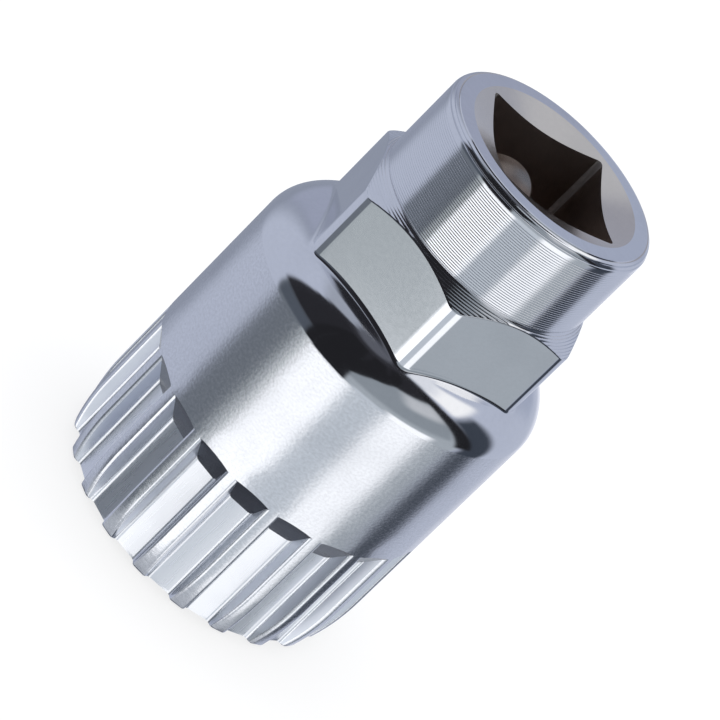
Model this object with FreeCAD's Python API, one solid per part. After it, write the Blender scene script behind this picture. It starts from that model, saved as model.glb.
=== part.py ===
import FreeCAD, Part

import math
import os

# Bottom bracket tool, in millimetres: a splined bearing-cup socket, turned and milled
# from one piece of steel. It stands on its splined end, with its axis on +Z and z = 0
# at that end. The square drive is at the top, with its walls facing X and Y.

# Hexagon for a spanner, from the top of the domed shoulder to the foot of the collar
hex_across_flats = 24.0
hex_height = 7.8
hex_corner_round = 2.0
hex_first_angle = 15.0
hex_chamfer_angle = 36.5
hex_foot_round = 0.5

# Round barrel, and how far it stands out past the hexagon's flats
barrel_length = 29.1
barrel_step = 4.0

# Domed shoulder between the barrel and the hexagon, a quarter of an oval
shoulder_rise = 4.8
shoulder_reach = 7.15

# Splined nose, whose lands lean in towards the open end
nose_length = 6.0
nose_lean = 0.8

# Lands and the grooves between them
groove_count = 20
groove_first_angle = 15.3
groove_depth = 1.65
groove_length = 11.9
groove_runout = 2.7
groove_root_round = 0.45
flank_lean = 18.0
land_width = 1.3

# Rounding of the open end's outer edge and of the lands' long edges
spline_edge_round = 0.35

# Turned collar round the drive, and how far it stands in from the hexagon's flats
collar_length = 9.5
collar_step = 0.3
collar_edge_round = 1.0

# Square drive, with a shallow turned lead-in that reaches past its corners
drive_size = 12.7
drive_clearance = 0.1
drive_corner_round = 0.5
lead_in_margin = 0.61
lead_in_angle = 145.0

# Recess in one wall of the drive, for the ball of a square drive
detent_diameter = 8.2
detent_depth = 1.5
detent_below_top = 8.9

# Bore that clears the end of the crank spindle, and the wall it leaves under the grooves
bore_wall = 2.6
bore_past_barrel = 0.9
bore_end_angle = 120.0
bore_edge_chamfer = 0.4

# How far a cutting tool starts outside what it cuts
overshoot = 2.0

# Radii, levels and widths that follow from the sizes above
flat_reach = hex_across_flats / 2
barrel_radius = flat_reach + barrel_step
floor_radius = barrel_radius - groove_depth
bore_radius = floor_radius - bore_wall
bore_depth = barrel_length + bore_past_barrel
collar_radius = flat_reach - collar_step
collar_foot = barrel_length + shoulder_rise + hex_height
overall_length = collar_foot + collar_length
drive_reach = (drive_size + drive_clearance) / 2
drive_corner_reach = (drive_reach - drive_corner_round) * math.sqrt(2) + drive_corner_round
lead_in_radius = drive_corner_reach + lead_in_margin
groove_mouth = 2 * math.pi * barrel_radius / groove_count - land_width


def point(radius, height):
    """A point of a turned outline, in the XZ half plane."""
    return FreeCAD.Vector(radius, 0, height)


def polar(radius, angle, height=0.0):
    """A point at a radius and an angle in degrees about the axis."""
    turn = math.radians(angle)
    return FreeCAD.Vector(radius * math.cos(turn), radius * math.sin(turn), height)


def line(start, end):
    """A straight edge."""
    return Part.makeLine(start, end)


def arc(start, middle, end):
    """A round edge through three points."""
    return Part.Arc(start, middle, end).toShape()


def turned(edges):
    """The solid that a closed outline in the XZ half plane sweeps about the axis."""
    face = Part.Face(Part.Wire(Part.__sortEdges__(edges)))
    return face.revolve(FreeCAD.Vector(0, 0, 0), FreeCAD.Vector(0, 0, 1), 360)


def quarter_arc(centre, radius, end_angle):
    """A quarter circle in the XZ half plane, from end_angle on, anticlockwise."""
    def on_arc(angle):
        turn = math.radians(angle)
        return centre + FreeCAD.Vector(radius * math.cos(turn), 0, radius * math.sin(turn))
    return arc(on_arc(end_angle), on_arc(end_angle + 45), on_arc(end_angle + 90))


def barrel():
    """The round body: nose, cylinder and domed shoulder, solid to its axis."""
    nose_radius = barrel_radius - nose_lean
    nose_arc_radius = (nose_length ** 2 + nose_lean ** 2) / (2 * nose_lean)
    half = nose_length / 2
    half_radius = barrel_radius - nose_arc_radius + math.sqrt(nose_arc_radius ** 2 - half ** 2)
    shoulder_centre = point(barrel_radius - shoulder_reach, barrel_length)
    along_reach = point(barrel_radius, barrel_length)
    along_rise = shoulder_centre + FreeCAD.Vector(0, 0, shoulder_rise)
    if shoulder_reach >= shoulder_rise:
        oval = Part.Ellipse(along_reach, along_rise, shoulder_centre)
        oval_ends = (0, math.pi / 2)
    else:
        oval = Part.Ellipse(along_rise, along_reach, shoulder_centre)
        oval_ends = (-math.pi / 2, 0)
    shoulder = oval.toShape(*oval_ends)
    sharp = turned([
        line(point(0, 0), point(nose_radius, 0)),
        arc(point(nose_radius, 0), point(half_radius, half), point(barrel_radius, nose_length)),
        line(point(barrel_radius, nose_length), along_reach),
        shoulder,
        line(along_rise, point(0, along_rise.z)),
        line(point(0, along_rise.z), point(0, 0)),
    ])
    end_edges = [edge for edge in sharp.Edges if edge.BoundBox.ZMax < spline_edge_round]
    return sharp.makeFillet(spline_edge_round, end_edges)


def rounded_polygon(sides, apothem, corner_round, first_angle, height):
    """A regular polygon with rounded corners, as a face; a corner lies at first_angle."""
    half_flat = (apothem - corner_round) * math.tan(math.pi / sides)
    end_reach = math.hypot(apothem, half_flat)
    end_turn = math.degrees(math.atan2(half_flat, apothem))
    step = 360.0 / sides
    corner_reach = (apothem - corner_round) / math.cos(math.pi / sides) + corner_round
    edges = []
    for side in range(sides):
        corner = first_angle + side * step
        before = polar(end_reach, corner - step / 2 + end_turn, height)
        tip = polar(corner_reach, corner, height)
        after = polar(end_reach, corner + step / 2 - end_turn, height)
        next_flat_end = polar(end_reach, corner + step / 2 + end_turn, height)
        edges.append(arc(before, tip, after))
        edges.append(line(after, next_flat_end))
    return Part.Face(Part.Wire(edges))


def hexagon():
    """The spanner hexagon, with its top turned to a shallow cone down from the collar."""
    foot = rounded_polygon(6, flat_reach, hex_corner_round, hex_first_angle, barrel_length)
    prism = foot.extrude(FreeCAD.Vector(0, 0, collar_foot - barrel_length))
    slope = math.tan(math.radians(hex_chamfer_angle))
    outside = hex_across_flats
    cone_foot = collar_foot - (outside - collar_radius) * slope
    envelope = turned([
        line(point(0, collar_foot), point(collar_radius, collar_foot)),
        line(point(collar_radius, collar_foot), point(outside, cone_foot)),
        line(point(outside, cone_foot), point(outside, cone_foot - overall_length)),
        line(point(outside, cone_foot - overall_length), point(0, cone_foot - overall_length)),
        line(point(0, cone_foot - overall_length), point(0, collar_foot)),
    ])
    return prism.common(envelope)


def collar():
    """The turned collar, with a round top edge, from inside the hexagon to the top."""
    foot = collar_foot - hex_height / 2
    round_centre = point(collar_radius - collar_edge_round, overall_length - collar_edge_round)
    return turned([
        line(point(0, foot), point(collar_radius, foot)),
        line(point(collar_radius, foot), point(collar_radius, round_centre.z)),
        quarter_arc(round_centre, collar_edge_round, 0),
        line(point(round_centre.x, overall_length), point(0, overall_length)),
        line(point(0, overall_length), point(0, foot)),
    ])


def groove_cutter():
    """What one groove takes away: a flared channel with round roots and a ramp at its end."""
    floor = floor_radius
    outside = barrel_radius + overshoot
    lean = math.radians(flank_lean)
    half_floor = groove_mouth / 2 - groove_depth * math.tan(lean)
    half_outside = half_floor + (outside - floor) * math.tan(lean)
    turn = math.pi / 2 - lean
    set_in = groove_root_round * math.tan(turn / 2)
    root_centre = FreeCAD.Vector(floor + groove_root_round, half_floor - set_in, 0)
    mid = turn / 2
    root_middle = root_centre + FreeCAD.Vector(
        -groove_root_round * math.cos(mid), groove_root_round * math.sin(mid), 0)
    root_floor = FreeCAD.Vector(floor, half_floor - set_in, 0)
    root_flank = FreeCAD.Vector(
        floor + set_in * math.cos(lean), half_floor + set_in * math.sin(lean), 0)
    mouth = FreeCAD.Vector(outside, half_outside, 0)

    def mirrored(spot):
        return FreeCAD.Vector(spot.x, -spot.y, spot.z)

    section = Part.Wire([
        line(mirrored(root_floor), root_floor),
        arc(root_floor, root_middle, root_flank),
        line(root_flank, mouth),
        line(mouth, mirrored(mouth)),
        line(mirrored(mouth), mirrored(root_flank)),
        arc(mirrored(root_flank), mirrored(root_middle), mirrored(root_floor)),
    ])
    ramp = groove_runout / groove_depth
    top = groove_length + (outside - floor) * ramp
    channel = Part.Face(section)
    channel.translate(FreeCAD.Vector(0, 0, -overshoot))
    channel = channel.extrude(FreeCAD.Vector(0, 0, top + overshoot))
    wide = 2 * half_outside
    inside = floor - overshoot
    above_ramp = Part.Face(Part.makePolygon([
        FreeCAD.Vector(inside, -wide, groove_length - overshoot * ramp),
        FreeCAD.Vector(outside, -wide, top),
        FreeCAD.Vector(outside, -wide, top + overshoot),
        FreeCAD.Vector(inside, -wide, top + overshoot),
        FreeCAD.Vector(inside, -wide, groove_length - overshoot * ramp),
    ])).extrude(FreeCAD.Vector(0, 2 * wide, 0))
    return channel.cut(above_ramp)


def grooves():
    """All the grooves' cutters, evenly spaced round the axis."""
    first = groove_cutter()
    cutters = []
    for index in range(groove_count):
        cutter = first.copy()
        angle = groove_first_angle + index * 360.0 / groove_count
        cutter.rotate(FreeCAD.Vector(0, 0, 0), FreeCAD.Vector(0, 0, 1), angle)
        cutters.append(cutter)
    return cutters


def spindle_bore():
    """What the bore takes away: a plain hole with a chamfered mouth and a drilled cone end."""
    cone = bore_radius / math.tan(math.radians(bore_end_angle / 2))
    flare = bore_radius + bore_edge_chamfer + overshoot
    return turned([
        line(point(0, -overshoot), point(flare, -overshoot)),
        line(point(flare, -overshoot), point(bore_radius, bore_edge_chamfer)),
        line(point(bore_radius, bore_edge_chamfer), point(bore_radius, bore_depth)),
        line(point(bore_radius, bore_depth), point(0, bore_depth + cone)),
        line(point(0, bore_depth + cone), point(0, -overshoot)),
    ])


def square_drive():
    """What the square drive takes away, from inside the bore out through the top."""
    foot = bore_depth - overshoot
    section = rounded_polygon(4, drive_reach, drive_corner_round, 45.0, foot)
    return section.extrude(FreeCAD.Vector(0, 0, overall_length + overshoot - foot))


def lead_in():
    """What the shallow cone at the drive's mouth takes away."""
    slope = 1 / math.tan(math.radians(lead_in_angle / 2))
    tip = point(0, overall_length - lead_in_radius * slope)
    wide = point(lead_in_radius + overshoot, overall_length + overshoot * slope)
    above_tip = point(0, wide.z)
    return turned([line(tip, wide), line(wide, above_tip), line(above_tip, tip)])


def detent():
    """What the ball's recess takes away from the +Y wall of the drive."""
    radius = (detent_diameter ** 2 / 4 + detent_depth ** 2) / (2 * detent_depth)
    height = overall_length - detent_below_top
    centre = FreeCAD.Vector(0, drive_reach + detent_depth - radius, height)
    corner = FreeCAD.Vector(-radius, drive_reach - detent_depth, height - radius)
    return Part.makeSphere(radius, centre).common(Part.makeBox(2 * radius, radius, 2 * radius, corner))


def middle_reach(edge):
    """How far the middle of an edge is from the axis."""
    middle = edge.valueAt((edge.FirstParameter + edge.LastParameter) / 2)
    return math.hypot(middle.x, middle.y)


def is_hex_foot(edge):
    """Whether an edge is where the hexagon stands on the domed shoulder."""
    box = edge.BoundBox
    on_dome = barrel_length < box.ZMin and box.ZMax < barrel_length + shoulder_rise
    return on_dome and middle_reach(edge) > (flat_reach + collar_radius) / 2


def is_land_edge(edge):
    """Whether an edge is a long one where a groove's flank meets the outside of a land."""
    box = edge.BoundBox
    is_long = box.ZMax < barrel_length and box.ZLength > nose_length / 2
    return is_long and middle_reach(edge) > barrel_radius - groove_depth / 2


def tool():
    """The whole tool, as one solid."""
    outside = barrel().fuse([hexagon(), collar()]).removeSplitter()
    outside = outside.makeFillet(hex_foot_round, [edge for edge in outside.Edges if is_hex_foot(edge)])
    splined = outside.cut(grooves())
    splined = splined.makeFillet(spline_edge_round, [edge for edge in splined.Edges if is_land_edge(edge)])
    return splined.cut([spindle_bore(), square_drive(), lead_in(), detent()])


def save(shape, node):
    """Write a node's solid to its own file."""
    os.makedirs("parts", exist_ok=True)
    shape.exportStep("parts/" + node + ".step")
    print(node, "valid", shape.isValid(), "solids", len(shape.Solids), "faces", len(shape.Faces),
          "volume", round(shape.Volume, 1))


save(tool(), "bottom_bracket_tool")
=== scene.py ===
"""Bottom bracket tool: a one-piece splined socket of plated steel, dressed for its picture.

The tool stands on its splined end. One skin is grown ring by ring from that end to the rim of
the collar, and the bore, the square drive, its lead-in and the ball's recess are cut out of it.
"""

import logging
import math
from collections.abc import Iterable, Iterator
from dataclasses import dataclass, field
from enum import Enum
from typing import Any

import bmesh
import bpy
from mathutils import Matrix, Vector


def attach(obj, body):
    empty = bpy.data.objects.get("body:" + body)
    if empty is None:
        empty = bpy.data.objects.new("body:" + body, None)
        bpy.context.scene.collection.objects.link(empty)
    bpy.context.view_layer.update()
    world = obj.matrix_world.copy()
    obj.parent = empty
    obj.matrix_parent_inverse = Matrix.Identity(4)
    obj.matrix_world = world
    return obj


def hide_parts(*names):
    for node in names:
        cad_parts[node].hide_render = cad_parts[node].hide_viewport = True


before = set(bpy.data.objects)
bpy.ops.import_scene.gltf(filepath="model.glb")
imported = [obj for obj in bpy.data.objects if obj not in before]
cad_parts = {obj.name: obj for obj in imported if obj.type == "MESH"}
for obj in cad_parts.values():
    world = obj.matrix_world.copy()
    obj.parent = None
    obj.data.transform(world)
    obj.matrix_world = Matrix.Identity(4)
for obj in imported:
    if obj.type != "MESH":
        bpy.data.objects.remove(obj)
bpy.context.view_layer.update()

log = logging.getLogger("bottom_bracket_tool")

MM = 0.001
TOOL_NODE = "bottom_bracket_tool"
TOOL_BODY = "root"
COLUMNS = 360
FULL_TURN = 2 * math.pi

# The radius at which the grain has its stated length round the axis, and its length inwards
GRAIN_REACH = 16 * MM
GRAIN_IN = 1 * MM
# The size of the stained patches, and the middle and width of each step in the noise
PATCH_SIZE = 6 * MM
STAIN_STEP = (0.62, 0.3)
FLECK_STEP = (0.5, 0.4)

Ring = list[Vector]
Colour = tuple[float, float, float]


def at(radius: float, angle: float, height: float) -> Vector:
    """The point at a radius, an angle in radians and a height."""
    return Vector((radius * math.cos(angle), radius * math.sin(angle), height))


def spread(start: float, end: float, steps: int) -> list[float]:
    """Evenly spaced values from start to end, both included."""
    return [start + (end - start) * index / steps for index in range(steps + 1)]


def deselect() -> None:
    """Leave every object deselected, in object mode."""
    if bpy.context.mode != "OBJECT":
        bpy.ops.object.mode_set(mode="OBJECT")
    bpy.ops.object.select_all(action="DESELECT")


def activate(piece: bpy.types.Object) -> None:
    """Make a piece the only selected and active object."""
    deselect()
    piece.select_set(True)
    bpy.context.view_layer.objects.active = piece


def settle(piece: bpy.types.Object) -> None:
    """Write a piece's place, turn and size into its mesh, and turn its faces outwards."""
    activate(piece)
    bpy.ops.object.transform_apply(location=True, rotation=True, scale=True)
    bpy.ops.object.mode_set(mode="EDIT")
    bpy.ops.mesh.select_all(action="SELECT")
    bpy.ops.mesh.normals_make_consistent(inside=False)
    bpy.ops.object.mode_set(mode="OBJECT")


class Finish(Enum):
    """The finishes of the plate, in the order of the piece's material slots; some hold painted light.
    """

    POLISHED = 0
    SATIN = 1
    TURNED = 2
    SPLINED = 3
    # The flanks' blue tint is a painted reflection.
    FLANK = 4
    # Painted shade: the run-out ramps get a dark colour for the dark they reflect.
    SHADED_RUN_OUT = 5
    LEAD_IN = 6
    SOCKET = 7
    # Painted highlight: the drive's corner fillets are coloured light.
    CORNER = 8
    # Partly painted highlight: the ball's recess is coloured near white.
    DIMPLE_HIGHLIGHT = 9


class Signal:
    """A number that varies over a surface, written with Python's own operators."""

    def __init__(self, graph: "Graph", socket: bpy.types.NodeSocket) -> None:
        """Wrap an output socket of a graph."""
        self.graph = graph
        self.socket = socket

    def maths(self, operation: str, *others: "Signal | float") -> "Signal":
        """The result of a Math node on this signal.

        Args:
            operation: The Math node's operation.
            others: The second and third operands, where it has them.

        Returns:
            The result as a signal.
        """
        inputs = {0: self, **{place + 1: other for place, other in enumerate(others)}}
        node = self.graph.node("ShaderNodeMath", {"operation": operation}, inputs)
        return Signal(self.graph, node.outputs[0])

    def reflected(self, operation: str, first: float) -> "Signal":
        """The result of a Math node whose first operand is a plain number."""
        node = self.graph.node("ShaderNodeMath", {"operation": operation}, {0: first, 1: self})
        return Signal(self.graph, node.outputs[0])

    def __add__(self, other: "Signal | float") -> "Signal":
        """This signal plus another."""
        return self.maths("ADD", other)

    def __radd__(self, other: float) -> "Signal":
        """A number plus this signal."""
        return self.maths("ADD", other)

    def __sub__(self, other: "Signal | float") -> "Signal":
        """This signal minus another."""
        return self.maths("SUBTRACT", other)

    def __rsub__(self, other: float) -> "Signal":
        """A number minus this signal."""
        return self.reflected("SUBTRACT", other)

    def __mul__(self, other: "Signal | float") -> "Signal":
        """This signal times another."""
        return self.maths("MULTIPLY", other)

    def __rmul__(self, other: float) -> "Signal":
        """A number times this signal."""
        return self.maths("MULTIPLY", other)

    def __truediv__(self, other: "Signal | float") -> "Signal":
        """This signal over another."""
        return self.maths("DIVIDE", other)

    def __rtruediv__(self, other: float) -> "Signal":
        """A number over this signal."""
        return self.reflected("DIVIDE", other)

    def rise(self, middle: float, width: float) -> "Signal":
        """0 below a level and 1 above it, with a soft step.

        Args:
            middle: The level.
            width: How wide the step is.

        Returns:
            The step as a signal.
        """
        inputs = {"Value": self, "From Min": middle - width / 2, "From Max": middle + width / 2}
        node = self.graph.node("ShaderNodeMapRange", {"interpolation_type": "SMOOTHSTEP"}, inputs)
        return Signal(self.graph, node.outputs[0])


class Graph:
    """The node tree of one material or world."""

    def __init__(self, tree: bpy.types.NodeTree) -> None:
        """Take over a node tree and empty it."""
        self.tree = tree
        tree.nodes.clear()

    def node(self, kind: str, settings: dict[str, Any] | None = None,
             inputs: dict[int | str, Any] | None = None) -> bpy.types.Node:
        """Add a node.

        Args:
            kind: The node's type.
            settings: Its properties, which are set first.
            inputs: Values, signals, sockets or nodes for its sockets, by name or place.

        Returns:
            The node.
        """
        made = self.tree.nodes.new(kind)
        for name, value in (settings or {}).items():
            setattr(made, name, value)
        for place, value in (inputs or {}).items():
            if isinstance(value, Signal):
                self.tree.links.new(value.socket, made.inputs[place])
            elif isinstance(value, bpy.types.NodeSocket):
                self.tree.links.new(value, made.inputs[place])
            elif isinstance(value, bpy.types.Node):
                self.tree.links.new(value.outputs[0], made.inputs[place])
            else:
                made.inputs[place].default_value = value
        return made

    def signal(self, node: bpy.types.Node, output: int | str = 0) -> Signal:
        """An output of a node as a signal."""
        return Signal(self, node.outputs[output])

    def place(self) -> tuple[bpy.types.Node, Signal, Signal, Signal]:
        """The place on the piece: the coordinate node, and x, y and z."""
        coordinates = self.node("ShaderNodeTexCoord")
        parts = self.node("ShaderNodeSeparateXYZ", inputs={0: coordinates.outputs["Object"]})
        return coordinates, self.signal(parts, 0), self.signal(parts, 1), self.signal(parts, 2)

    def mix(self, factor: Signal | float, first: Any, second: Any) -> bpy.types.NodeSocket:
        """A colour between two, by a factor."""
        made = self.node("ShaderNodeMix", {"data_type": "RGBA"}, {0: factor, 6: first, 7: second})
        return made.outputs[2]


@dataclass(frozen=True)
class PlateFinish:
    """One finish of the plate: its colour, its gloss and its grain.

    Attributes:
        finish: Which finish this is.
        colour: The metal's colour, which in some finishes also holds painted light.
        stain: A second colour, which shows in faint patches.
        roughness: The mean roughness.
        unevenness: How far the roughness varies.
        grain_round: The length of the grain round the axis.
        grain_along: The length of the grain along the axis.
        grain_height: How high the grain stands.
        fleck: How far the grain's hollows darken the colour.
    """

    finish: Finish
    colour: Colour
    stain: Colour
    roughness: float
    unevenness: float
    grain_round: float
    grain_along: float
    grain_height: float
    fleck: float = 0.04

    def material(self) -> bpy.types.Material:
        """Build the finish as a material.

        Returns:
            The material.
        """
        made = bpy.data.materials.new("plate_" + self.finish.name.lower())
        made.use_nodes = True
        graph = Graph(made.node_tree)
        coordinates, x, y, z = graph.place()
        arc = y.maths("ARCTAN2", x) * GRAIN_REACH
        reach = (x * x + y * y).maths("SQRT")
        grain_place = graph.node("ShaderNodeCombineXYZ", inputs={
            0: arc / self.grain_round, 1: reach / GRAIN_IN, 2: z / self.grain_along})
        grain = graph.signal(graph.node(
            "ShaderNodeTexNoise", inputs={"Vector": grain_place, "Scale": 1.0, "Detail": 3.0}))
        patch = graph.signal(graph.node(
            "ShaderNodeTexNoise",
            inputs={"Vector": coordinates.outputs["Object"], "Scale": 1 / PATCH_SIZE, "Detail": 2.0}))
        bump = graph.node("ShaderNodeBump", inputs={
            "Strength": 1.0, "Distance": self.grain_height, "Height": grain})
        metal = graph.mix(patch.rise(*STAIN_STEP), (*self.colour, 1), (*self.stain, 1))
        hollow = (1 - grain.rise(*FLECK_STEP)) * self.fleck
        shader = graph.node("ShaderNodeBsdfPrincipled", inputs={
            "Base Color": graph.mix(hollow, metal, (*HOLLOW, 1)),
            "Metallic": 1.0,
            "Roughness": self.roughness + (grain - 0.5) * self.unevenness,
            "Normal": bump})
        graph.node("ShaderNodeOutputMaterial", inputs={"Surface": shader})
        return made


CHROME: Colour = (0.80, 0.81, 0.84)
STEEL: Colour = (0.76, 0.77, 0.80)
HOLLOW: Colour = (0.30, 0.30, 0.32)
FINISHES = (
    PlateFinish(Finish.POLISHED, CHROME, STEEL,
                0.085, 0.04, 0.6 * MM, 0.3 * MM, 0.0006 * MM),
    PlateFinish(Finish.SATIN, (0.82, 0.83, 0.86), STEEL,
                0.21, 0.10, 0.36 * MM, 0.24 * MM, 0.011 * MM, 0.18),
    PlateFinish(Finish.TURNED, CHROME, STEEL,
                0.13, 0.05, 3.0 * MM, 0.1 * MM, 0.0004 * MM),
    PlateFinish(Finish.SPLINED, (0.88, 0.89, 0.92), (0.82, 0.83, 0.86),
                0.28, 0.06, 0.15 * MM, 3.0 * MM, 0.0008 * MM),
    # Painted reflection: the flanks get a bluer tint than the plate's, for the blue-grey cloth that
    # they reflect.
    PlateFinish(Finish.FLANK, (0.79, 0.82, 0.88), (0.74, 0.77, 0.83),
                0.36, 0.08, 0.15 * MM, 3.0 * MM, 0.0010 * MM),
    # Painted shade: the ramps of the run-out are coloured near black for the dark that they face and
    # reflect, not for a darker plate.
    PlateFinish(Finish.SHADED_RUN_OUT, (0.21, 0.215, 0.235), (0.17, 0.175, 0.19),
                0.24, 0.08, 0.3 * MM, 0.15 * MM, 0.0030 * MM),
    PlateFinish(Finish.LEAD_IN, (0.78, 0.72, 0.64), (0.72, 0.66, 0.58),
                0.17, 0.05, 1.0 * MM, 0.2 * MM, 0.0010 * MM),
    PlateFinish(Finish.SOCKET, (0.50, 0.42, 0.37), (0.38, 0.31, 0.27),
                0.36, 0.10, 0.4 * MM, 0.8 * MM, 0.006 * MM),
    # Painted highlight: the drive's rounded corners get a colour much lighter than the socket's, so
    # that a light streak runs down each corner; the high roughness goes with it.
    PlateFinish(Finish.CORNER, (0.86, 0.82, 0.79), (0.80, 0.76, 0.73),
                0.95, 0.10, 0.4 * MM, 0.8 * MM, 0.004 * MM),
    # The ball's recess: a light machined face, lightened further to near white as a painted highlight,
    # so that it reads bright inside the dark socket.
    PlateFinish(Finish.DIMPLE_HIGHLIGHT, (0.97, 0.94, 0.90), (0.90, 0.87, 0.83),
                0.26, 0.06, 0.4 * MM, 0.4 * MM, 0.002 * MM),
)


@dataclass
class SplinedNose:
    """The round barrel, its leaning nose and the grooves that are cut along it.

    A section is drawn from the middle of a groove to the middle of the next land, and is
    mirrored and repeated round the axis.
    """

    radius: float = 16.0 * MM
    length: float = 29.1 * MM
    nose_length: float = 6.0 * MM
    nose_lean: float = 0.8 * MM
    edge_round: float = 0.35 * MM
    groove_count: int = 20
    first_groove: float = math.radians(15.3)
    groove_depth: float = 1.65 * MM
    groove_length: float = 11.9 * MM
    groove_runout: float = 2.7 * MM
    root_round: float = 0.45 * MM
    land_width: float = 1.3 * MM
    flank_lean: float = math.radians(18.0)
    plain_above: float = 1.0 * MM

    @property
    def floor(self) -> float:
        """How far the groove floors are from the axis."""
        return self.radius - self.groove_depth

    @property
    def half_floor(self) -> float:
        """Half the width of a groove floor, up to where the flanks would meet it."""
        mouth = FULL_TURN * self.radius / self.groove_count - self.land_width
        return mouth / 2 - self.groove_depth * math.tan(self.flank_lean)

    def half_section(self, reach: float) -> list[tuple[float, float]]:
        """Half of a groove and half of a land.

        Args:
            reach: The radius of the land there.

        Returns:
            Points as distances out from the axis and across from the groove's middle.
        """
        along = Vector((math.cos(self.flank_lean), math.sin(self.flank_lean)))
        inward = Vector((-along.y, along.x))
        foot = Vector((self.floor, self.half_floor))
        turn = math.pi / 2 - self.flank_lean
        set_in = self.root_round * math.tan(turn / 2)
        root = Vector((self.floor + self.root_round, self.half_floor - set_in))
        points = [Vector((self.floor, 0))]
        for angle in spread(0, turn, 3):
            points.append(root + self.root_round * Vector((-math.cos(angle), math.sin(angle))))
        # Where the groove is shallow, the land's rounding takes what the root's leaves of the flank
        room = (reach - self.floor) / along.x - set_in
        edge = min(self.edge_round, room / math.tan(turn / 2))
        start = foot + edge * inward
        travel = start.dot(along)
        way = -travel + math.sqrt(travel ** 2 - start.length_squared + (reach - edge) ** 2)
        centre = start + way * along
        first, last = -inward, centre.normalized()
        for share in (0, 0.36, 0.68, 1):
            points.append(centre + edge * first.lerp(last, share).normalized())
        middle = math.pi / self.groove_count
        points.append(reach * Vector((math.cos(middle), math.sin(middle))))
        return [(point.x, point.y) for point in points]

    def wrap(self, half: list[tuple[float, float, float]]) -> Ring:
        """Mirror and repeat half a section round the axis.

        Args:
            half: Points as distance out, distance across and height.

        Returns:
            One point for each column.
        """
        sector = half + [(out, -across, height) for out, across, height in reversed(half[1:-1])]
        ring = []
        for groove in range(self.groove_count):
            for place, (out, across, height) in enumerate(sector):
                # Past the land's middle, the mirrored points belong to the next groove
                turn = groove + (1 if place >= len(half) else 0)
                angle = self.first_groove + turn * FULL_TURN / self.groove_count
                ring.append(Matrix.Rotation(angle, 3, "Z") @ Vector((out, across, height)))
        return ring

    def ring(self, reach: float, height: float) -> Ring:
        """The splined section at a height, where the lands have a given radius."""
        return self.wrap([(out, across, height) for out, across in self.half_section(reach)])

    def ramp_height(self, out: float) -> float:
        """The height of the run-out at a distance out from the axis."""
        return self.groove_length + (out - self.floor) * self.groove_runout / self.groove_depth

    def rings(self) -> Iterator[Ring]:
        """The rings from the open end to the top of the run-out.

        Yields:
            Each ring in turn.
        """
        nose_radius = (self.nose_length ** 2 + self.nose_lean ** 2) / (2 * self.nose_lean)
        nose_centre = self.radius - nose_radius
        inner = nose_radius - self.edge_round
        drop = self.nose_length - self.edge_round
        end_reach = nose_centre + math.sqrt(inner ** 2 - drop ** 2)
        lean = math.asin(drop / inner)
        for angle in spread(-math.pi / 2, -lean, 6):
            yield self.ring(end_reach + self.edge_round * math.cos(angle),
                            self.edge_round * (1 + math.sin(angle)))
        for angle in spread(-lean, 0, 7)[1:]:
            yield self.ring(nose_centre + nose_radius * math.cos(angle),
                            self.nose_length + nose_radius * math.sin(angle))
        half = self.half_section(self.radius)
        land_edge = half[-2][0]
        mouth = self.ramp_height(land_edge)
        foot, top = [], []
        for out, across in half:
            edge = math.sqrt(self.radius ** 2 - across ** 2)
            height = self.ramp_height(edge)
            foot.append((out, across, min(self.ramp_height(out), mouth)))
            top.append((edge, across, min(height, mouth) if out > land_edge else height))
        # The land itself has no ramp, so both rings share its points
        top[-2:] = foot[-2:]
        yield self.wrap(foot)
        yield self.wrap(top)
        plain = self.ramp_height(self.radius) + self.plain_above
        yield self.wrap([(out, across, plain) for out, across, _ in top])


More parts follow.
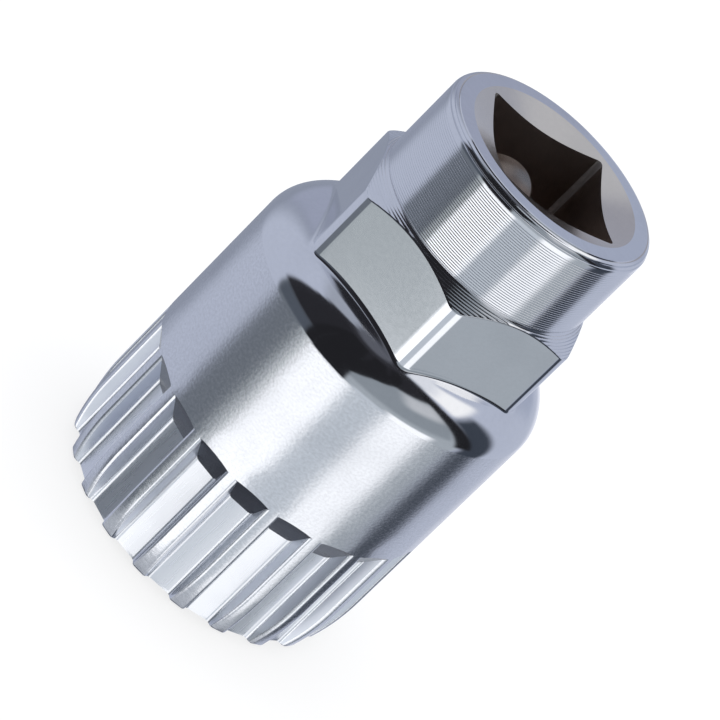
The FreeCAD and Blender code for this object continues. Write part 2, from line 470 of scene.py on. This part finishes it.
@dataclass
class SpannerHexagon:
    """The domed shoulder, and the hexagon that stands on it with a turned cone at its top."""

    nose: SplinedNose
    apothem: float = 12.0 * MM
    corner_round: float = 2.0 * MM
    first_corner: float = math.radians(15.0)
    shoulder_rise: float = 4.8 * MM
    shoulder_reach: float = 7.15 * MM
    foot_round: float = 0.5 * MM
    height: float = 7.8 * MM
    cone_slope: float = math.tan(math.radians(36.5))
    collar_step: float = 0.3 * MM
    edge_break: float = 0.09 * MM
    edge_middle: tuple[float, float] = (0.35, 0.25)
    ring_pitch: float = 0.235 * MM
    ring_width: float = 0.12 * MM
    ring_depth: float = 0.074 * MM
    first_ring: float = 0.6
    barrel_rings: tuple[float, ...] = (11.0 * MM, 5.5 * MM)
    sides: int = 6
    corner_steps: int = 7

    @property
    def top(self) -> float:
        """The height at which the cone meets the collar."""
        return self.nose.length + self.shoulder_rise + self.height

    @property
    def corner_end(self) -> float:
        """How far round from its middle a rounded corner reaches."""
        flat = self.apothem - self.corner_round
        return math.pi / self.sides - math.atan2(flat * math.tan(math.pi / self.sides), self.apothem)

    def turns(self) -> list[float]:
        """How far each column is from its corner, from one corner to the next, in radians."""
        half_steps = COLUMNS // self.sides // 2
        half = spread(0, self.corner_end, self.corner_steps)[:-1]
        half += spread(self.corner_end, math.pi / self.sides, half_steps - self.corner_steps)
        return half + [-turn for turn in reversed(half[1:-1])]

    def columns(self) -> list[tuple[float, float]]:
        """Each column's angle, and how far it is from the nearest corner."""
        turns = self.turns()
        side = FULL_TURN / self.sides
        found = []
        for corner in range(self.sides):
            for place, turn in enumerate(turns):
                base = corner + (1 if place > len(turns) // 2 else 0)
                found.append((self.first_corner + base * side + turn, abs(turn)))
        return found

    def reach(self, turn: float) -> float:
        """How far the hexagon's wall is from the axis, at an angle from a corner."""
        if turn > self.corner_end:
            return self.apothem / math.cos(math.pi / self.sides - turn)
        centre = (self.apothem - self.corner_round) / math.cos(math.pi / self.sides)
        off_line = centre * math.sin(turn)
        return centre * math.cos(turn) + math.sqrt(self.corner_round ** 2 - off_line ** 2)

    def shoulder(self, angle: float) -> tuple[Vector, Vector]:
        """A point of the dome's outline and its outward normal, as (radius, height)."""
        start = self.nose.radius - self.shoulder_reach
        point = Vector((start + self.shoulder_reach * math.cos(angle),
                        self.nose.length + self.shoulder_rise * math.sin(angle)))
        normal = Vector((self.shoulder_rise * math.cos(angle), self.shoulder_reach * math.sin(angle)))
        return point, normal.normalized()

    def foot_angle(self, wall: float) -> float:
        """Where on the dome's outline the fillet at the hexagon's foot begins."""
        low, high = 0.0, math.pi / 2
        while high - low > 1e-7:
            middle = (low + high) / 2
            point, normal = self.shoulder(middle)
            if point.x + self.foot_round * normal.x > wall + self.foot_round:
                low = middle
            else:
                high = middle
        return low

    def outline(self, turn: float) -> list[Vector]:
        """The outline of one column, from the barrel's edge to the foot of the collar.

        Args:
            turn: The column's angle from the nearest corner.

        Returns:
            Points as (radius, height).
        """
        wall = self.reach(turn)
        foot = self.foot_angle(wall)
        points = [self.shoulder(angle)[0] for angle in spread(0, foot, 26)]
        point, normal = self.shoulder(foot)
        centre = point + self.foot_round * normal
        lean = math.atan2(normal.y, normal.x)
        for angle in spread(math.pi + lean, math.pi, 7)[1:]:
            points.append(centre + self.foot_round * Vector((math.cos(angle), math.sin(angle))))
        inward, down = self.edge_middle
        points.append(self.cone(wall, self.edge_break))
        points.append(self.cone(wall - inward * self.edge_break, down * self.edge_break))
        limit = wall - self.edge_break
        points.append(self.cone(limit))
        half = self.ring_width / 2
        for radius in self.ring_radii():
            # On a flat, the rings past its edge fall together on the edge
            for offset, depth in ((half, 0), (0, self.ring_depth), (-half, 0)):
                place = radius + offset
                points.append(self.cone(place, depth) if place < limit else self.cone(limit))
        return points

    def cone(self, radius: float, below: float = 0.0) -> Vector:
        """A point of the turned cone at a radius, or that far below it, as (radius, height)."""
        return Vector((radius, self.top - (radius - self.collar_radius) * self.cone_slope - below))

    @property
    def collar_radius(self) -> float:
        """The radius of the collar that stands on the cone."""
        return self.apothem - self.collar_step

    def ring_radii(self) -> list[float]:
        """The radii of the turned rings on the cone, from the outside in."""
        first = self.reach(0.0) - self.first_ring * self.ring_pitch
        count = 1 + int((first - self.ring_width / 2 - self.collar_radius) / self.ring_pitch)
        return [first - index * self.ring_pitch for index in range(count)]

    def rings(self) -> Iterator[Ring]:
        """The rings from above the run-out to the foot of the collar.

        Yields:
            Each ring in turn.
        """
        columns = self.columns()
        for drop in self.barrel_rings:
            yield [at(self.nose.radius, angle, self.nose.length - drop) for angle, _ in columns]
        outlines = {turn: self.outline(turn) for turn in {turn for _, turn in columns}}
        for step in range(len(outlines[0.0])):
            places = {turn: outline[step] for turn, outline in outlines.items()}
            yield [at(places[turn].x, angle, places[turn].y) for angle, turn in columns]


@dataclass
class TurnedCollar:
    """The collar round the drive, with fine turned rings and a round top edge."""

    hexagon: SpannerHexagon
    length: float = 9.5 * MM
    edge_round: float = 1.0 * MM
    foot_groove: float = 0.36 * MM
    foot_groove_depth: float = 0.10 * MM
    foot_groove_middle: float = 0.4
    ring_pitch: float = 0.24 * MM
    ring_width: float = 0.085 * MM
    ring_depth: float = 0.055 * MM
    round_rings: tuple[float, ...] = (22.0, 45.0, 68.0)
    round_ring_width: float = 0.16 * MM
    round_ring_depth: float = 0.07 * MM
    rim_inset: float = 0.2 * MM

    @property
    def top(self) -> float:
        """The height of the rim."""
        return self.hexagon.top + self.length

    def outline(self) -> list[Vector]:
        """The collar's outline from its foot to its rim, as (radius, height)."""
        radius = self.hexagon.collar_radius
        foot = self.hexagon.top
        groove = foot + self.foot_groove_middle * self.foot_groove
        first_ring = foot + self.foot_groove
        points = [Vector((radius, foot)), Vector((radius - self.foot_groove_depth, groove)),
                  Vector((radius, first_ring))]
        edge = self.top - self.edge_round
        for index in range(int((edge - first_ring) / self.ring_pitch)):
            height = first_ring + (index + 0.5) * self.ring_pitch
            points.append(Vector((radius, height - self.ring_width / 2)))
            points.append(Vector((radius - self.ring_depth, height)))
            points.append(Vector((radius, height + self.ring_width / 2)))

        def on_round(angle: float, depth: float = 0.0) -> Vector:
            """A point of the round top edge, at an angle and a depth below it."""
            out = (self.edge_round - depth) * Vector((math.cos(angle), math.sin(angle)))
            return Vector((radius - self.edge_round, edge)) + out

        last = 0.0
        half = self.round_ring_width / self.edge_round / 2
        for middle in map(math.radians, self.round_rings):
            points += [on_round(angle) for angle in spread(last, middle - half, 3)]
            points.append(on_round(middle, self.round_ring_depth))
            last = middle + half
        points += [on_round(angle) for angle in spread(last, math.pi / 2, 3)]
        points.append(on_round(math.pi / 2) - Vector((self.rim_inset, 0)))
        return points

    def rings(self) -> Iterator[Ring]:
        """The collar's rings, from its foot to its rim.

        Yields:
            Each ring in turn.
        """
        angles = [angle for angle, _ in self.hexagon.columns()]
        for point in self.outline():
            yield [at(point.x, angle, point.y) for angle in angles]


class RingStack:
    """A skin grown from one edge loop, a ring at a time."""

    merge_below: float = 0.0004 * MM
    dissolve_below: float = 0.0002 * MM

    def __init__(self, name: str, first: Ring) -> None:
        """Start the skin with its lowest ring.

        Args:
            name: The piece's name.
            first: The lowest ring.
        """
        deselect()
        bpy.ops.mesh.primitive_circle_add(vertices=len(first), radius=first[0].length)
        self.piece = bpy.context.active_object
        self.piece.name = name
        self.piece.data.name = name
        column = self.piece.data.attributes.new("column", "INT", "POINT")
        column.data.foreach_set("value", range(len(first)))
        bpy.ops.object.mode_set(mode="EDIT")
        bpy.ops.mesh.select_all(action="SELECT")
        self.place(first)

    def place(self, ring: Ring) -> None:
        """Move the selected loop's vertices to a ring."""
        mesh = bmesh.from_edit_mesh(self.piece.data)
        column = mesh.verts.layers.int["column"]
        for vertex in mesh.verts:
            if vertex.select:
                vertex.co = ring[vertex[column]]

    def grow(self, rings: Iterable[Ring]) -> None:
        """Extrude the top loop to each ring in turn."""
        for ring in rings:
            bpy.ops.mesh.extrude_edges_move()
            self.place(ring)

    def close(self) -> bpy.types.Object:
        """Cap both ends, merge doubles and turn the faces outwards.

        Returns:
            The closed piece.
        """
        bpy.ops.mesh.edge_face_add()
        bpy.ops.mesh.select_all(action="DESELECT")
        bpy.ops.mesh.select_non_manifold(extend=False)
        bpy.ops.mesh.edge_face_add()
        bpy.ops.mesh.select_all(action="SELECT")
        bpy.ops.mesh.remove_doubles(threshold=self.merge_below)
        bpy.ops.mesh.dissolve_degenerate(threshold=self.dissolve_below)
        bpy.ops.mesh.normals_make_consistent(inside=False)
        bpy.ops.object.mode_set(mode="OBJECT")
        self.piece.data.attributes.remove(self.piece.data.attributes["column"])
        return self.piece


@dataclass
class DriveSocket:
    """The square drive with its lead-in and the ball's recess, and the bore below it."""

    collar: TurnedCollar
    nose: SplinedNose
    square: float = 12.8 * MM
    corner_round: float = 0.5 * MM
    lead_in_margin: float = 0.61 * MM
    lead_in_angle: float = math.radians(145.0)
    detent_diameter: float = 8.2 * MM
    detent_depth: float = 1.5 * MM
    detent_below_top: float = 8.9 * MM
    bore_wall: float = 2.6 * MM
    bore_past_barrel: float = 0.9 * MM
    bore_end_angle: float = math.radians(120.0)
    bore_chamfer: float = 0.4 * MM
    overshoot: float = 2.0 * MM
    bore_steps: int = 180
    lead_in_steps: int = 240
    corner_steps: int = 6
    detent_steps: tuple[int, int] = (96, 64)

    @property
    def bore_radius(self) -> float:
        """The radius of the bore."""
        return self.nose.floor - self.bore_wall

    @property
    def bore_depth(self) -> float:
        """How far the bore's straight wall goes in."""
        return self.nose.length + self.bore_past_barrel

    @property
    def lead_in_radius(self) -> float:
        """How far the lead-in reaches at the rim."""
        corner = (self.square / 2 - self.corner_round) * math.sqrt(2) + self.corner_round
        return corner + self.lead_in_margin

    @staticmethod
    def lathe(name: str, outline: list[tuple[float, float]], steps: int) -> bpy.types.Object:
        """Spin an outline about the axis.

        Args:
            name: The cutter's name.
            outline: Points as (radius, height), which start and end on the axis.
            steps: How many faces go round.

        Returns:
            The closed cutter.
        """
        deselect()
        bpy.ops.mesh.primitive_plane_add(size=1 * MM)
        cutter = bpy.context.active_object
        cutter.name = name
        bpy.ops.object.mode_set(mode="EDIT")
        bpy.ops.mesh.merge(type="CENTER")
        bpy.ops.transform.translate(value=(outline[0][0], 0, outline[0][1]))
        for (radius, height), (next_radius, next_height) in zip(outline, outline[1:]):
            step = (next_radius - radius, 0, next_height - height)
            bpy.ops.mesh.extrude_vertices_move(TRANSFORM_OT_translate={"value": step})
        bpy.ops.mesh.select_all(action="SELECT")
        bpy.ops.mesh.spin(steps=steps, angle=FULL_TURN, center=(0, 0, 0), axis=(0, 0, 1))
        bpy.ops.mesh.select_all(action="SELECT")
        bpy.ops.mesh.remove_doubles(threshold=0.001 * MM)
        settle(cutter)
        return cutter

    def bore(self) -> bpy.types.Object:
        """The cutter of the bore, with its chamfered mouth and cone end."""
        radius = self.bore_radius
        flare = radius + self.bore_chamfer + self.overshoot
        tip = self.bore_depth + radius / math.tan(self.bore_end_angle / 2)
        return self.lathe("bore_cutter", [
            (0, -self.overshoot), (flare, -self.overshoot), (radius, self.bore_chamfer),
            (radius, self.bore_depth), (0, tip)], self.bore_steps)

    def lead_in(self) -> bpy.types.Object:
        """The cutter of the shallow cone at the drive's mouth."""
        slope = 1 / math.tan(self.lead_in_angle / 2)
        radius = self.lead_in_radius
        rise = self.overshoot * slope
        return self.lathe("lead_in_cutter", [
            (0, self.collar.top - radius * slope), (radius + self.overshoot, self.collar.top + rise),
            (0, self.collar.top + rise)], self.lead_in_steps)

    def drive(self) -> bpy.types.Object:
        """The cutter of the square drive, with its corners rounded."""
        low = self.bore_depth - self.overshoot
        high = self.collar.top + self.overshoot
        deselect()
        bpy.ops.mesh.primitive_cube_add(size=1, location=(0, 0, (low + high) / 2))
        cutter = bpy.context.active_object
        cutter.name = "drive_cutter"
        cutter.scale = (self.square, self.square, high - low)
        settle(cutter)
        bpy.ops.object.mode_set(mode="EDIT")
        bpy.ops.mesh.select_all(action="DESELECT")
        mesh = bmesh.from_edit_mesh(cutter.data)
        for edge in mesh.edges:
            first, second = edge.verts
            if abs(first.co.z - second.co.z) > self.overshoot:
                edge.select = True
        bpy.ops.mesh.bevel(offset=self.corner_round, offset_type="OFFSET",
                           segments=self.corner_steps, affect="EDGES")
        bpy.ops.object.mode_set(mode="OBJECT")
        return cutter

    def detent(self) -> bpy.types.Object:
        """The cutter of the ball's recess."""
        radius = (self.detent_diameter ** 2 / 4 + self.detent_depth ** 2) / (2 * self.detent_depth)
        centre = (0, self.square / 2 + self.detent_depth - radius,
                  self.collar.top - self.detent_below_top)
        segments, rings = self.detent_steps
        deselect()
        bpy.ops.mesh.primitive_uv_sphere_add(
            segments=segments, ring_count=rings, radius=radius, location=centre,
            rotation=(math.radians(90), 0, 0))
        cutter = bpy.context.active_object
        cutter.name = "detent_cutter"
        settle(cutter)
        return cutter

    def cut(self, piece: bpy.types.Object) -> None:
        """Cut the bore, the drive, its lead-in and the ball's recess out of a piece."""
        for cutter in (self.bore(), self.drive(), self.lead_in(), self.detent()):
            activate(piece)
            step = piece.modifiers.new(cutter.name, "BOOLEAN")
            step.operation = "DIFFERENCE"
            step.solver = "EXACT"
            step.object = cutter
            bpy.ops.object.modifier_apply(modifier=step.name)
            bpy.data.objects.remove(cutter)


@dataclass
class BottomBracketTool:
    """The whole tool, as one skin with its finishes.

    Attributes:
        nose: The barrel with its grooves, on which the rest stands.
        smooth_below: The angle between two faces up to which their edge is shaded smooth.
        satin_past_barrel: How far the satin runs on past the barrel's top.
        turned_depth: How far down the cone the turned finish starts.
        edge: How far past an outline a face has to lie to count as past it.
        side_limit: The most that a flank's normal faces outwards or along the axis.
        up_limit: The least that a turned face of the cone looks up.
        in_limit: The least that a face inside the tool looks inwards.
        mouth_limit: The least that a face of the lead-in looks up.
    """

    nose: SplinedNose = field(default_factory=SplinedNose)
    smooth_below: float = math.radians(27)
    satin_past_barrel: float = 0.2 * MM
    turned_depth: float = 2.0 * MM
    edge: float = 0.05 * MM
    side_limit: float = 0.4
    up_limit: float = 0.3
    in_limit: float = 0.05
    mouth_limit: float = 0.1

    def __post_init__(self) -> None:
        """Stack the hexagon, the collar and the socket on the nose."""
        self.hexagon = SpannerHexagon(self.nose)
        self.collar = TurnedCollar(self.hexagon)
        self.socket = DriveSocket(self.collar, self.nose)

    def finish_at(self, centre: Vector, normal: Vector) -> Finish:
        """Which finish a face has, by its place and the way it looks.

        Args:
            centre: The face's middle.
            normal: The way it looks.

        Returns:
            Its finish.
        """
        nose, cone_top = self.nose, self.hexagon.top
        reach = math.hypot(centre.x, centre.y)
        facing = (centre.x * normal.x + centre.y * normal.y) / reach
        if facing < -self.in_limit and reach < self.socket.bore_radius + self.socket.bore_chamfer:
            return self.inner_finish(centre, normal)
        on_floor = reach < nose.floor + nose.root_round / 2 and facing > self.side_limit
        if centre.z < nose.length and on_floor:
            return Finish.SPLINED
        if centre.z < nose.ramp_height(nose.radius) and reach < nose.radius - self.edge:
            # Faces of the run-out that look down get the painted shade.
            if normal.z < -self.side_limit and centre.z > nose.groove_length:
                return Finish.SHADED_RUN_OUT
            if facing < self.side_limit and abs(normal.z) < self.side_limit:
                return Finish.FLANK
        if centre.z < nose.length + self.satin_past_barrel:
            return Finish.SATIN
        if cone_top - self.turned_depth < centre.z < cone_top and normal.z > self.up_limit:
            return Finish.TURNED
        if cone_top < centre.z < self.collar.top - self.collar.edge_round:
            return Finish.TURNED
        return Finish.POLISHED

    def inner_finish(self, centre: Vector, normal: Vector) -> Finish:
        """Which finish a face inside the tool has.

        Args:
            centre: The face's middle.
            normal: The way it looks.

        Returns:
            Its finish.
        """
        across = sorted((abs(centre.x), abs(centre.y)))
        wall = self.socket.square / 2
        if centre.z < self.socket.bore_depth:
            return Finish.SOCKET
        if normal.z > self.mouth_limit and centre.z > self.collar.top - self.socket.square / 4:
            return Finish.LEAD_IN
        # The ball's recess gets the painted highlight.
        if across[1] > wall + self.edge:
            return Finish.DIMPLE_HIGHLIGHT
        # The corner fillets get the painted highlight.
        return Finish.CORNER if across[0] > wall - self.socket.corner_round else Finish.SOCKET

    def build(self) -> bpy.types.Object:
        """Model the tool and dress it.

        Returns:
            The finished piece.
        """
        rings = self.nose.rings()
        stack = RingStack("splined_tool", next(rings))
        stack.grow(rings)
        stack.grow(self.hexagon.rings())
        stack.grow(self.collar.rings())
        piece = stack.close()
        log.info("skin grown: %d faces", len(piece.data.polygons))
        self.socket.cut(piece)
        log.info("socket cut: %d faces", len(piece.data.polygons))
        settle(piece)
        bpy.ops.object.shade_smooth_by_angle(angle=self.smooth_below)
        piece.data.materials.clear()
        for finish in FINISHES:
            piece.data.materials.append(finish.material())
        for face in piece.data.polygons:
            face.material_index = self.finish_at(face.center, face.normal).value
        self.crease(piece, (Finish.LEAD_IN, Finish.DIMPLE_HIGHLIGHT))
        activate(piece)
        weights = piece.modifiers.new("flat_faces", "WEIGHTED_NORMAL")
        weights.keep_sharp = True
        bpy.ops.object.modifier_apply(modifier=weights.name)
        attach(piece, TOOL_BODY)
        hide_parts(TOOL_NODE)
        return piece

    @staticmethod
    def crease(piece: bpy.types.Object, finishes: Iterable[Finish]) -> None:
        """Keep the border of each given finish sharp.

        Args:
            piece: The piece, with its finishes given to its faces.
            finishes: The finishes whose borders are edges of the shape.
        """
        activate(piece)
        for finish in finishes:
            bpy.ops.object.mode_set(mode="EDIT")
            bpy.ops.mesh.select_mode(type="FACE")
            bpy.ops.mesh.select_all(action="DESELECT")
            piece.active_material_index = finish.value
            bpy.ops.object.material_slot_select()
            bpy.ops.mesh.region_to_loop()
            bpy.ops.mesh.mark_sharp()
            bpy.ops.object.mode_set(mode="OBJECT")


@dataclass(frozen=True)
class Panel:
    """A card or cloth panel of the light tent, as the tool sees it.

    Attributes:
        name: What the panel is.
        sides: Its left and right edges, in degrees from the camera's side, to the right.
        heights: Its lower and upper edges, in degrees above the horizon.
        colour: Its brightness and colour.
        feather: How soft its upright edges are, in degrees.
        feather_up: How soft its level edges are, in degrees.
        lean: How far its upright edges lean to the right, in degrees for each degree up.
    """

    name: str
    sides: tuple[float, float]
    heights: tuple[float, float]
    colour: Colour
    feather: float = 6.0
    feather_up: float = 6.0
    lean: float = 0.0


@dataclass
class LightTent:
    """A round tent of cloth panels and cards, which lights the tool and shows in its plate."""

    facing: float
    radius: float = 1.6
    cloth: Colour = (0.52, 0.56, 0.675)
    panels: tuple[Panel, ...] = (
        Panel("shaded cloth at the back left", (-200, -132), (-90, 90), (0.30, 0.33, 0.41), 24),
        Panel("bright cloth at the back right", (158, 200), (-90, -8), (0.80, 0.82, 0.92), 22, 12),
        Panel("high cloth at the back left", (-200, -140), (4, 66), (0.37, 0.40, 0.51), 16, 12),
        Panel("high cloth at the back right", (150, 200), (4, 66), (0.41, 0.45, 0.57), 16, 12),
        Panel("top of the cloth at the back", (150, 200), (44, 66), (0.56, 0.60, 0.70), 16, 12),
        Panel("top of the cloth at the left", (-200, -150), (44, 66), (0.56, 0.60, 0.70), 16, 12),
        Panel("back ceiling", (-200, 200), (63, 95), (0.38, 0.41, 0.48), 6, 10),
        Panel("lamp at the back right", (97, 132), (45, 66), (1.1, 1.1, 1.1), 8, 6),
        Panel("upper lamp at the back right", (100, 170), (62, 84), (0.85, 0.87, 0.92), 14, 6),
        Panel("dark ceiling", (-84, 93), (64, 95), (0.035, 0.035, 0.042), 10, 8),
        Panel("zenith", (-200, 200), (81, 95), (0.12, 0.126, 0.15), 6, 5),
        Panel("front wall", (-2, 90), (-95, 60), (0.42, 0.46, 0.50), 5, 8),
        Panel("upper front wall", (-2, 82), (4, 60), (0.29, 0.325, 0.36), 5, 12),
        Panel("small lamp over the front right", (46, 80), (33, 53), (0.58, 0.60, 0.63), 16, 12),
        Panel("ceiling flag over the front", (-78, 92), (54, 75), (0.025, 0.025, 0.03), 6, 5),
        Panel("slate card on the left", (-74, -36), (-95, 16), (0.165, 0.185, 0.215), 6, 8),
        Panel("upper slate card on the left", (-72, -36), (-14, 16), (0.09, 0.105, 0.13), 6, 10),
        Panel("black flag on the left", (-76, -34), (14, 75), (0.025, 0.025, 0.03), 6, 8),
        Panel("grey fill card", (-41.5, -29), (-48, -15), (0.44, 0.48, 0.50), 3),
        Panel("low window in front", (-33.7, 8), (-95, -19), (1.45, 1.47, 1.50), 1.2, 5),
        Panel("corner of the low window", (-37, -32), (-26.2, -25.2), (0.85, 0.88, 0.90), 1.5, 0.5),
        Panel("grey edge of the low window", (-38, -29.5), (-95, -26.4), (0.36, 0.39, 0.42), 3, 0.5),
        Panel("black flag in front", (-29, 1), (-19, 75), (0.018, 0.018, 0.021), 3, 4),
        Panel("upper black flag in front", (-37.5, -27), (-16, 75), (0.018, 0.018, 0.021), 4, 3),
        Panel("leaning edge of the black flag", (-33, -8), (4, 75), (0.018, 0.018, 0.021), 3, 4, 0.62),
        Panel("upper leaning edge", (-60, -40), (30, 75), (0.018, 0.018, 0.021), 4, 4, 1.45),
        Panel("low window on the right", (36, 70), (-95, -6), (1.22, 1.24, 1.27), 10, 6),
        Panel("low grey gap", (8, 36), (-95, -12), (0.60, 0.65, 0.71), 8, 8),
        Panel("slate flag on the right", (93, 116), (-95, 42), (0.05, 0.06, 0.08), 9, 10),
        Panel("black edge on the right", (86, 99), (-8, 66), (0.018, 0.018, 0.021), 4, 8, -0.15),
        Panel("table before the tool", (-80, 110), (-95, -43), (0.50, 0.53, 0.58), 16, 8),
        Panel("dark table on the left", (-165, -95), (-95, -50), (0.14, 0.15, 0.18), 24, 12),
        Panel("dark table on the right", (90, 165), (-95, -50), (0.14, 0.15, 0.18), 24, 12),
        Panel("dark table under the tool", (-200, 200), (-95, -66), (0.13, 0.14, 0.17), 6, 10),
    )

    def build(self) -> None:
        """Set up the tent round the tool, unseen by the camera itself."""
        deselect()
        bpy.ops.mesh.primitive_uv_sphere_add(segments=48, ring_count=32, radius=self.radius)
        tent = bpy.context.active_object
        tent.name = "light_tent"
        tent.rotation_euler = (0, 0, self.facing)
        tent.visible_camera = False
        tent.visible_shadow = False
        made = bpy.data.materials.new("tent_panels")
        made.use_nodes = True
        graph = Graph(made.node_tree)
        _, x, y, z = graph.place()
        to_degrees = 180 / math.pi
        side = y.maths("ARCTAN2", x) * to_degrees
        height = (z / self.radius).maths("ARCSINE") * to_degrees
        colour: Any = (*self.cloth, 1)
        for panel in self.panels:
            (left, right), (low, high) = panel.sides, panel.heights
            across = side - height * panel.lean
            mask = (across.rise(left, panel.feather) * (1 - across.rise(right, panel.feather))
                    * height.rise(low, panel.feather_up) * (1 - height.rise(high, panel.feather_up)))
            colour = graph.mix(mask, colour, (*panel.colour, 1))
        glow = graph.node("ShaderNodeEmission", inputs={"Color": colour, "Strength": 1.0})
        graph.node("ShaderNodeOutputMaterial", inputs={"Surface": glow})
        tent.data.materials.append(made)


@dataclass
class Studio:
    """The floor, the background and the soft light."""

    facing: float
    floor_size: float = 12.0
    floor_drop: float = 0.02 * MM
    floor_colour: Colour = (0.90, 0.90, 0.90)
    floor_glow: float = 0.75
    lamp_height: float = 0.9
    lamp_size: float = 1.2
    lamp_power: float = 12.0

    def build(self) -> None:
        """Set up the studio."""
        LightTent(self.facing).build()
        self.floor()
        self.world()
        self.lamp()

    def floor(self) -> None:
        """A plain pale floor, which shows to the camera and takes the tool's shadow."""
        deselect()
        bpy.ops.mesh.primitive_plane_add(size=self.floor_size, location=(0, 0, -self.floor_drop))
        floor = bpy.context.active_object
        floor.name = "floor"
        floor.visible_glossy = False
        made = bpy.data.materials.new("pale_floor")
        made.use_nodes = True
        graph = Graph(made.node_tree)
        paint = graph.node("ShaderNodeBsdfDiffuse", inputs={"Color": (*self.floor_colour, 1)})
        glow = graph.node("ShaderNodeEmission", inputs={"Color": (1, 1, 1, 1), "Strength": 1.0})
        seen = graph.signal(graph.node("ShaderNodeLightPath"), "Is Camera Ray")
        surface = graph.node("ShaderNodeMixShader", inputs={
            0: seen * self.floor_glow, 1: paint, 2: glow})
        graph.node("ShaderNodeOutputMaterial", inputs={"Surface": surface})
        floor.data.materials.append(made)

    def world(self) -> None:
        """A white background."""
        world = bpy.data.worlds.new("studio")
        bpy.context.scene.world = world
        world.use_nodes = True
        graph = Graph(world.node_tree)
        glow = graph.node("ShaderNodeBackground", inputs={"Color": (1, 1, 1, 1), "Strength": 1.0})
        graph.node("ShaderNodeOutputWorld", inputs={"Surface": glow})

    def lamp(self) -> None:
        """A wide soft lamp overhead, for the floor."""
        deselect()
        bpy.ops.object.light_add(type="AREA", location=(0, 0, self.lamp_height))
        lamp = bpy.context.active_object
        lamp.name = "overhead_lamp"
        lamp.data.shape = "DISK"
        lamp.data.size = self.lamp_size
        lamp.data.energy = self.lamp_power
        lamp.visible_glossy = False


@dataclass
class PictureCamera:
    """The camera at the photograph's viewing angle, rolled so that the tool leans over."""

    distance: float = 397.94 * MM
    height: float = 224.85 * MM
    azimuth: float = math.radians(-117.3)
    pitch: float = math.radians(-26.818)
    roll: float = math.radians(45.265)
    lens: float = 242.71
    sensor: float = 36.0
    clip_start: float = 10 * MM

    def build(self) -> None:
        """Add the camera and make it the scene's."""
        data = bpy.data.cameras.new("picture_camera")
        camera = bpy.data.objects.new("picture_camera", data)
        bpy.context.scene.collection.objects.link(camera)
        data.lens = self.lens
        data.sensor_width = self.sensor
        data.clip_start = self.clip_start
        toward = self.azimuth + math.pi
        forward = at(math.cos(self.pitch), toward, math.sin(self.pitch))
        level = forward.cross(Vector((0, 0, 1))).normalized()
        upright = level.cross(forward)
        right = level * math.cos(self.roll) + upright * math.sin(self.roll)
        up = right.cross(forward)
        turn = Matrix((right, up, -forward)).transposed().to_4x4()
        camera.matrix_world = Matrix.Translation(at(self.distance, self.azimuth, self.height)) @ turn
        bpy.context.scene.camera = camera


def main() -> None:
    """Build the tool, the studio and the camera."""
    logging.basicConfig(level=logging.INFO)
    camera = PictureCamera()
    camera.build()
    piece = BottomBracketTool().build()
    log.info("%s stands for %s", piece.name, TOOL_NODE)
    Studio(camera.azimuth).build()
    scene = bpy.context.scene
    scene.view_settings.view_transform = "Standard"


if __name__ == "__main__":
    main()
